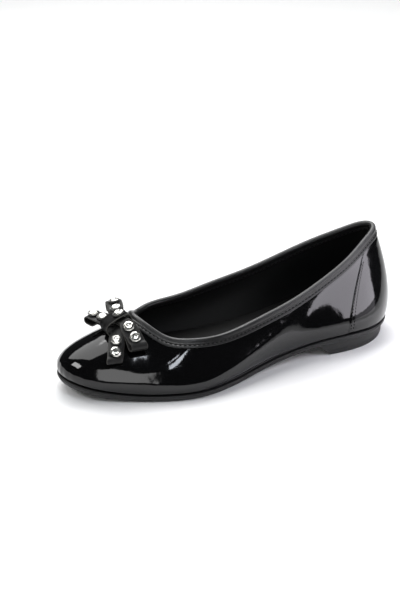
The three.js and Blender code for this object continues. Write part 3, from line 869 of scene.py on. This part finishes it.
def build_binding():
    """One band folded over the topline: a section of rows carried round it.

    Each leg is given by its distance below the topline and its height off the wall's face, with a shallow
    channel for the stitches and a crease under the rolled edge. The roll is an arc round the wall's middle.
    """
    face = CLEARANCE + BINDING_THICKNESS
    top = wall(RING, 1.0)
    normal = wall_normal(RING, 1.0)
    upwards = unit(top - wall(RING, 0.97))
    middle = top - normal * WALL / 2

    def leg(below, offset):
        """A ring at a distance below the topline and a height off the wall's outer face."""
        rise = rise_below(RING, below)
        return wall(RING, rise) + wall_normal(RING, rise) * offset

    def arc(radius, degrees):
        """A ring of the arc round the middle of the wall's edge, at an angle up from the outside."""
        turn = math.radians(degrees)
        return middle + normal * radius * math.cos(turn) + upwards * radius * math.sin(turn)

    low = BINDING_OUTER_LEG
    row = OUTER_STITCHES
    outer_leg = [
        (low, CLEARANCE), (low, face - 0.4), (low - 0.12, face - 0.2), (low - 0.35, face - 0.05),
        (low - 0.8, face), (row + 0.55, face), (row + 0.3, face - 0.14), (row, face - 0.26),
        (row - 0.3, face - 0.14), (row - 0.55, face), (2.3, face), (2.0, face - 0.06), (1.8, face - 0.14),
        (1.6, face - 0.06),
    ]
    bead = WALL / 2 + face + BINDING_BEAD
    low = BINDING_INNER_LEG
    row = INNER_STITCHES
    back = -WALL - face
    inner_leg = [
        (2.2, back + 0.2), (2.5, back), (row - 0.25, back), (row, back + 0.18), (row + 0.25, back),
        (low - 0.2, back), (low, back + 0.2), (low, -WALL - CLEARANCE),
    ]
    rings = [leg(*row) for row in outer_leg]
    rings += [arc(bead, degrees) for degrees in np.linspace(-28, 208, 19)]
    rings += [leg(*row) for row in inner_leg]
    rings += [arc(WALL / 2 + CLEARANCE, degrees) for degrees in np.linspace(180, 0, 9)]
    rings = np.array(rings)
    along = np.repeat(lengths_along(top, 0)[None], len(rings), axis=0)
    pattern = np.stack([along, lengths_along(rings, 0)], -1)
    grid = {"points": rings, "rows_closed": True, "columns_closed": True, "pattern": pattern}
    band = piece("dressed_binding", [grid], [binding_leather], sharp=70.0)
    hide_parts("binding")

    loop = np.append(RING, RING[0])
    rows = (("outer", 1, OUTER_STITCHES, face - 0.22), ("inner", -1, INNER_STITCHES, back + 0.16))
    for word, side, below, offset in rows:
        rise = rise_below(loop, below)
        normal = wall_normal(loop, rise)
        points = wall(loop, rise) + normal * offset
        run = thread_run(f"binding_stitches_{word}", points, normal * side, **BINDING_STITCH)


# Sole

def build_sole():
    """Outsole: a ring profile with a bevelled tread, a bulging lip and a bead along the feather line.

    Heel: the sole's outline behind the breast, carried down to the floor, with a seam over its top piece.
    Its rows are the inset and the share of the way from the sole down to the floor.
    """
    rows = [
        (1.7, 0.0), (1.4, 0.0), (1.05, 0.12), (0.6, 0.42), (0.3, 0.8), (-0.1, 1.4), (-0.4, 2.0),
        (-0.56, 2.55), (-SOLE_LIP, 3.0), (-0.5, 3.16), (-0.3, 3.24), (-0.5, 3.32), (-0.58, 3.5), (-0.5, 3.78),
        (-0.25, 4.0), (0.1, SOLE_EDGE), (1.2, SOLE_EDGE),
    ]
    rings = profile_rings(rows, sole_bottom)
    grids = [{"points": rings, "columns_closed": True}, cap(rings[0]), cap(rings[-1])]
    outsole = piece("dressed_outsole", grids, [rubber], sharp=50.0)
    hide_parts("outsole")

    steps = 160
    rows = [
        (0.9, 1.0), (0.6, 1.0), (0.25, 0.97), (0.04, 0.9), (0.0, 0.8), (0.0, 0.66), (0.22, 0.645),
        (0.22, 0.62), (0.0, 0.605), (0.0, 0.3), (0.0, 0.0), (0.6, 0.0),
    ]
    rings = []
    for distance, drop in rows:
        breast = BREAST_SHARE - BREAST_SLANT * (1 - drop) / SOLE_LENGTH + distance / SOLE_LENGTH
        start = angle_at(breast)
        angle = np.linspace(start, 2 * np.pi - start, steps)
        ring = inset(np.where(angle > np.pi, angle - 2 * np.pi, angle), HEEL_INSET + distance)
        ring[:, 2] = (sole_bottom(ring[:, 1]) - CLEARANCE) * (1 - drop)
        front = ring[-1] + (ring[0] - ring[-1]) * np.linspace(0, 1, 24)[1:-1, None]
        rings.append(np.concatenate([ring, front]))
    rings = np.array(rings)

    def lid(ring):
        """A face over the heel's outline: straight runs between its two sides."""
        return face_between(ring[: steps // 2], ring[steps - 1 : steps // 2 - 1 : -1])

    grids = [{"points": rings, "columns_closed": True}, lid(rings[0]), lid(rings[-1])]
    heel = piece("dressed_heel", grids, [rubber], sharp=50.0)
    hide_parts("heel_block")


def build_insole():
    """Sock on the turned-in leather with its filler below: rings over the sole, a dished top face.

    The dish is a parabola across, and deepens evenly from the ball to the heel.
    """
    across = 60
    filler = CORNER_RADIUS + MARGIN_WIDTH
    shelf = CLEARANCE + WALL + CLEARANCE
    edge = WALL - CLEARANCE + INSOLE_SIDE_CLEARANCE
    rows = [
        (filler, CLEARANCE), (filler, shelf), (edge, shelf), (edge, shelf + 0.6 * INSOLE_THICKNESS),
        (edge + 0.15, shelf + 0.8 * INSOLE_THICKNESS), (edge + 0.45, shelf + 0.94 * INSOLE_THICKNESS),
        (edge + 0.9, shelf + INSOLE_THICKNESS),
    ]
    rings = [over_sole(RING, distance, height) for distance, height in rows]
    top = cap(rings[-1], across)
    off_middle = np.linspace(-1, 1, across)[None, :]
    heelward = np.clip((top["points"][..., 1] - 10) / 90, 0, 1)
    top["points"][..., 2] -= (0.35 + 0.5 * heelward) * (1 - off_middle**2)
    grids = [{"points": np.array(rings), "columns_closed": True}, cap(rings[0]), top]
    insole = piece("dressed_insole", grids, [sock], sharp=50.0)
    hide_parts("insole")


# Bow

SEAT_POINT, SEAT_NORMAL = vamp_at(BOW_X, TOE_Y + BOW_SETBACK)
BOW_SLOPE = math.atan2(-SEAT_NORMAL[1], SEAT_NORMAL[2])
SIDE_TILT = np.array([0.0, math.cos(BOW_SLOPE), math.sin(BOW_SLOPE)])
BOW_UP = np.array([0.0, -math.sin(BOW_SLOPE), math.cos(BOW_SLOPE)])
PINCHED_HEIGHT = 2 * RIBBON_THICKNESS + CLEARANCE
LAYER_HEIGHT = PINCHED_HEIGHT + 2 * CLEARANCE
KNOT_FLOOR = CLEARANCE + BINDING_THICKNESS + BINDING_BEAD + KNOT_LIFT
STRIP_FLOOR = KNOT_FLOOR + RIBBON_THICKNESS + CLEARANCE


def ease(value, low, high):
    """0 below low, 1 above high, and the S-shaped 3t² - 2t³ between them."""
    t = np.clip((value - low) / (high - low), 0, 1)
    return t**2 * (3 - 2 * t)


def arm_at(strip, side, distance):
    """At distances from the bow's middle: the arm's top, its loop's height, and the ways along and across it.

    The arm lies in the vamp's slope where the knot holds it, and past that its height follows a parabola. The
    change is eased over the blend: the free length starts as the square of the way into it, over four times
    the blend. The way across runs from edge to edge: it is pinched under the knot, turns to face the arm's
    end and loses the slope. Below the arm the loop opens by an S-shaped rise.
    """
    arm = strip["near" if side > 0 else "far"]
    middle_turn = (strip["near"]["turn"] + strip["far"]["turn"]) / 2
    into = np.clip(distance - HELD_REACH + HELD_BLEND, 0, 2 * HELD_BLEND)
    free = into**2 / (4 * HELD_BLEND) + np.maximum(distance - HELD_REACH - HELD_BLEND, 0)
    held = distance - free
    share = np.minimum(free / (arm["reach"] - HELD_REACH), 1)
    inward = 1 - held / HELD_REACH
    turned = arm["turn"] + (middle_turn - arm["turn"]) * inward + (arm["face"] - arm["turn"]) * share
    heading = np.radians(turned)
    tilt = BOW_SLOPE * (1 - arm["level"] * share)
    level = np.cos(heading) * np.array([np.cos(tilt), np.sin(tilt)])
    width = RIBBON_WIDTH * (PINCH + (1 - PINCH) * ease(distance, *PINCH_REACH))
    across = unit(np.stack([-np.sin(heading), level[0], level[1]], -1)) * width[:, None]
    turn = math.radians(arm["turn"])
    along = side * np.array([math.cos(turn), math.sin(turn), 0.0])
    root = SEAT_POINT + BOW_UP * (STRIP_FLOOR + strip["layer"] * LAYER_HEIGHT + PINCHED_HEIGHT)
    top = root + along * distance[:, None]
    top[:, 2] += along[1] * math.tan(BOW_SLOPE) * held + arm["lift"] * free + arm["bend"] * free**2
    height = PINCHED_HEIGHT + (arm["loop"] - PINCHED_HEIGHT) * ease(free, *LOOP_REACH)
    return top, height, along, across


def strip_line(strip):
    """The closed line of a strip and the way across it: out on top, round the loop's nose, back below.

    The nose is half an ellipse. The far side follows in the same way, from below to the top.
    """
    lines = []
    directions = []
    for side in (1, -1):
        reach = strip["near" if side > 0 else "far"]["reach"]
        top, height, along, across = arm_at(strip, side, np.linspace(0, reach, ARM_POINTS))
        over = top - UP * RIBBON_THICKNESS / 2
        under = top - UP * (height - RIBBON_THICKNESS / 2)[:, None]
        out, back = (over, under) if side > 0 else (under, over)
        turn = np.radians(np.linspace(0, 180, 17))[1:-1, None]
        half = (out[-1] - back[-1]) / 2
        nose = (out[-1] + back[-1]) / 2 + along * LOOP_NOSE * np.sin(turn) + half * np.cos(turn)
        lines += [out, nose, back[::-1][:-1]]
        directions += [across, np.repeat(across[-1:], len(nose), axis=0), across[::-1][:-1]]
    return np.concatenate(lines), np.concatenate(directions)


def band_grid(line, across, thickness, folds=0.0, curl=0.0):
    """A flat band along a closed line: its section is a rounded strip, thinner at its edges.

    The section sinks across the width by the folds times a cosine of two waves, and its edges stand up by
    the curl, one number or one for each point of the line, times the place across squared.
    """
    places = np.array([0.0, 0.2, 0.45, 0.7, 0.88, 0.95, 0.985, 1.0])
    places = np.concatenate([-places[:0:-1], places])
    shares = np.array([1, 1, 1, 1, 1, 0.85, 0.6, 0.35])
    thick = thickness / 2 * np.concatenate([shares[:0:-1], shares])
    wave = folds * (np.cos(2 * np.pi * places) - 1) / 2
    wave = wave + np.broadcast_to(curl, len(line))[:, None] * places**2
    section_across = np.concatenate([places, places[::-1]])
    section_out = np.concatenate([wave + thick, (wave - thick)[:, ::-1]], axis=1)
    along = np.roll(line, -1, axis=0) - np.roll(line, 1, axis=0)
    out = unit(np.cross(along, across))
    sideways = across[:, None] * section_across[None, :, None] / 2
    points = line[:, None] + sideways + out[:, None] * section_out[:, :, None]
    steps = np.linalg.norm(np.roll(line, -1, axis=0) - line, axis=-1)
    run = np.cumsum(steps) - steps
    off_middle = section_across[None, :] * RIBBON_WIDTH / 2
    pattern = np.stack(np.broadcast_arrays(run[:, None], off_middle), -1)
    return {"points": points, "rows_closed": True, "columns_closed": True, "pattern": pattern}


def build_strips():
    """The two looped strips of the bow."""
    for strip in STRIPS:
        line, across = strip_line(strip)
        grid = band_grid(line, across, RIBBON_THICKNESS)
        ribbon = piece(f"dressed_{strip['name']}", [grid], [ribbon_leather], sharp=50.0)
        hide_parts(strip["name"])


def build_knot():
    """The knot: a rounded rectangle of band along the shoe, round both strips, with two soft folds.

    Its top sinks to its ends by the fourth power of the way to them, and the edges of its top stand up, most
    at the middle, by a parabola.
    """
    inside = 2 * LAYER_HEIGHT + CLEARANCE + KNOT_HEADROOM
    height = inside + RIBBON_THICKNESS
    half_length = (KNOT_LENGTH - RIBBON_THICKNESS) / 2 - KNOT_CORNER
    half_height = height / 2 - KNOT_CORNER
    middle = SEAT_POINT - SIDE_TILT * KNOT_FORWARD + BOW_UP * (KNOT_FLOOR + RIBBON_THICKNESS / 2 + height / 2)
    parts = []
    for lengthwise, upwards, start in ((1, -1, -90), (1, 1, 0), (-1, 1, 90), (-1, -1, 180)):
        turn = np.radians(start + np.linspace(0, 90, 9))[:, None]
        centre = middle + SIDE_TILT * lengthwise * half_length + BOW_UP * upwards * half_height
        parts.append(centre + SIDE_TILT * KNOT_CORNER * np.cos(turn) + BOW_UP * KNOT_CORNER * np.sin(turn))
        if start == 0:
            run = np.linspace(1, -1, 15)[1:-1, None] * half_length
            parts.append(middle + SIDE_TILT * run + BOW_UP * (height / 2))
    line = np.concatenate(parts)
    lengthwise = (line - middle) @ SIDE_TILT / (KNOT_LENGTH / 2)
    upwards = np.clip((line - middle) @ BOW_UP / (height / 2), 0, 1)
    line = line - BOW_UP * (KNOT_ARCH * upwards * lengthwise**4)[:, None]
    across = np.tile([KNOT_WIDTH, 0.0, 0.0], (len(line), 1))
    curl = KNOT_CURL * upwards * np.clip(1 - lengthwise**2, 0, 1)
    grid = band_grid(line, across, RIBBON_THICKNESS, folds=KNOT_FOLDS, curl=curl)
    knot = piece("dressed_knot", [grid], [knot_leather], sharp=50.0)
    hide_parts("bow_knot")


def stone_seats():
    """Seat and normal of each stone: on top of each arm, and on the knot near its rear."""
    seats = []
    for strip in STRIPS:
        for side in (1, -1):
            for distance in strip["near" if side > 0 else "far"]["stones"]:
                top, _, _, across = arm_at(strip, side, np.array([distance, distance + 1]))
                normal = unit(np.cross(side * (top[1] - top[0]), across[0]))
                seats.append((top[0] + normal * STONE_GAP, normal))
    top = KNOT_FLOOR + 2 * LAYER_HEIGHT + 2 * CLEARANCE + KNOT_HEADROOM + 2 * RIBBON_THICKNESS
    seats.append((SEAT_POINT + BOW_UP * top + SIDE_TILT * KNOT_STONE_BACK, BOW_UP))
    return seats


def turned_rings(seat, normal, rows, count, phases=None):
    """Rings of points round a normal, from rows of (radius, height), each turned by its phase in steps."""
    off_axis = np.array([0.3, 1.0, 0.2])
    first = unit(np.cross(normal, off_axis))
    second = np.cross(normal, first)
    rings = []
    for k, (radius, height) in enumerate(rows):
        phase = 0.0 if phases is None else phases[k]
        turn = 2 * np.pi * (np.arange(count) + phase)[:, None] / count
        rings.append(seat + normal * height + (first * np.cos(turn) + second * np.sin(turn)) * radius)
    return np.array(rings)


def build_stones():
    """Each stone: rings of eight points, two of them turned by half a step, with facets between.

    Inside its table the silvered facets of its back show as a shallow hollow star. A ring-shaped cup with an
    oval section holds its girdle.
    """
    facets = 8
    rim_points = 36
    rim_sides = 8
    radius = STONE_RADIUS
    height = STONE_HEIGHT
    # share of the radius, share of the height, turn in steps
    cut = [
        (0.0, 0.05, 0), (0.93, 0.05, 0), (0.96, 0.4, 0), (0.83, 0.7, 0.5), (0.58, 0.97, 0), (0.5, 1.0, 0),
        (0.26, 0.82, 0.5), (0.0, 0.9, 0),
    ]
    rows = [(share_out * radius, share_up * height) for share_out, share_up, _ in cut]
    phases = [phase for _, _, phase in cut]
    turns = np.linspace(0, 2 * np.pi, rim_sides, endpoint=False)
    rim = [(0.985 * radius + 0.13 * math.cos(a), 0.3 * height + 0.26 * math.sin(a)) for a in turns]
    for number, (seat, normal) in enumerate(stone_seats(), start=1):
        rings = turned_rings(seat, normal, rows, facets, phases)
        stone = piece(f"stone_{number}", [{"points": rings, "columns_closed": True}], [glass], sharp=1.0)
        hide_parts(f"crystal_{number}")
        rings = turned_rings(seat, normal, rim, rim_points)
        grid = {"points": rings, "rows_closed": True, "columns_closed": True}
        cup = piece(f"stone_cup_{number}", [grid], [cup_metal], sharp=80.0)


# Floor, light and camera

def build_floor():
    """A flat square of pale paper, larger than the camera sees."""
    reach = 3.2
    finish = Finish("paper")
    tone = finish.noise(300.0, 2.0)
    paper = finish.surface({
        "Base Color": finish.blend(tone, grey(0.92), grey(0.94)),
        "Roughness": 0.75,
    })
    corners = np.array([(-reach, -reach, 0), (reach, -reach, 0), (reach, reach, 0), (-reach, reach, 0)])
    mesh = bpy.data.meshes.new("floor")
    mesh.from_pydata(corners, [], [(0, 1, 2, 3)])
    mesh.materials.append(paper)
    floor = bpy.data.objects.new("floor", mesh)
    bpy.context.scene.collection.objects.link(floor)


def direction(azimuth, elevation):
    """The direction out from the shoe at an azimuth and an elevation, in degrees.

    The azimuth is 0 before the toe and 90 on the outer side.
    """
    turn = math.radians(azimuth)
    lift = math.radians(elevation)
    flat = math.cos(lift)
    return np.array([math.sin(turn) * flat, -math.cos(turn) * flat, math.sin(lift)])


def facing(back, where):
    """The placement of a thing at a point, upright, that looks against the direction back."""
    right = unit(np.cross(UP, back))
    turn = np.eye(4)
    turn[:3, :3] = np.stack([right, np.cross(back, right), back], -1)
    turn[:3, 3] = where
    return Matrix(turn.tolist())


def softbox(name, azimuth, elevation, distance, size, radiance, tint):
    """An area light that faces the shoe from a direction, with its size in metres.

    Its power is pi times its area times its radiance.
    """
    towards = direction(azimuth, elevation)
    light = bpy.data.lights.new(name, "AREA")
    light.shape = "RECTANGLE"
    light.size, light.size_y = size
    light.energy = math.pi * size[0] * size[1] * radiance
    light.color = tint
    lamp = bpy.data.objects.new(name, light)
    lamp.matrix_world = facing(towards, towards * distance + UP * AIM_HEIGHT)
    bpy.context.scene.collection.objects.link(lamp)


def build_camera():
    """The photograph's view of the shoe: a direction, a distance and a lens fitted to its outlines."""
    back = direction(CAMERA_AZIMUTH, CAMERA_ELEVATION)
    where = (CAMERA_TARGET + back * CAMERA_DISTANCE + LAST_SHIFT) * MM
    data = bpy.data.cameras.new("camera")
    data.sensor_fit = "VERTICAL"
    data.sensor_height = CAMERA_SENSOR
    data.lens = CAMERA_LENS
    data.clip_start = 0.01
    data.clip_end = 20.0
    camera = bpy.data.objects.new("camera", data)
    camera.matrix_world = facing(back, where)
    bpy.context.scene.collection.objects.link(camera)
    bpy.context.scene.camera = camera


def build_light():
    """Softboxes over a white floor in a dim room."""
    world = bpy.data.worlds.new("room")
    world.use_nodes = True
    background = world.node_tree.nodes["Background"]
    background.inputs["Color"].default_value = colour(0.9, 0.95, 1.0)
    background.inputs["Strength"].default_value = 0.04
    bpy.context.scene.world = world
    bpy.context.scene.view_settings.view_transform = "Standard"
    for name, placing in SOFTBOXES.items():
        softbox(name, *placing)


build_camera()
build_sole()
build_insole()
build_upper()
build_counter_stitches()
build_binding()
build_strips()
build_knot()
build_stones()
build_floor()
build_light()
